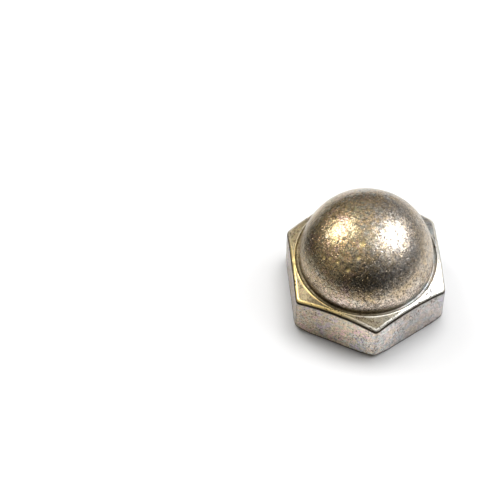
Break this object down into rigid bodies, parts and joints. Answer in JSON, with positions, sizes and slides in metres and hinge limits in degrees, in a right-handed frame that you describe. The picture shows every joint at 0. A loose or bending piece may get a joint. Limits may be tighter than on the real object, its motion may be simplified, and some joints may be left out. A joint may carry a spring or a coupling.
{
  "type": "cap nut",
  "caption": "Low hexagonal cap nut with a ball-shaped dome and a blind tapped hole that opens in the bearing face.",
  "frame": {"origin": "centre of the bearing face, on the axis of the thread", "axes": "+Z along the axis of the thread towards the dome, +X through a corner of the hexagon"},
  "size_m": [0.0194, 0.017, 0.014],
  "materials": {
    "plated_steel": "satin zinc plating with a faint yellow tint"
  },
  "bodies": {
    "root": {"cap_nut": "plated_steel"}
  },
  "joints": []
}
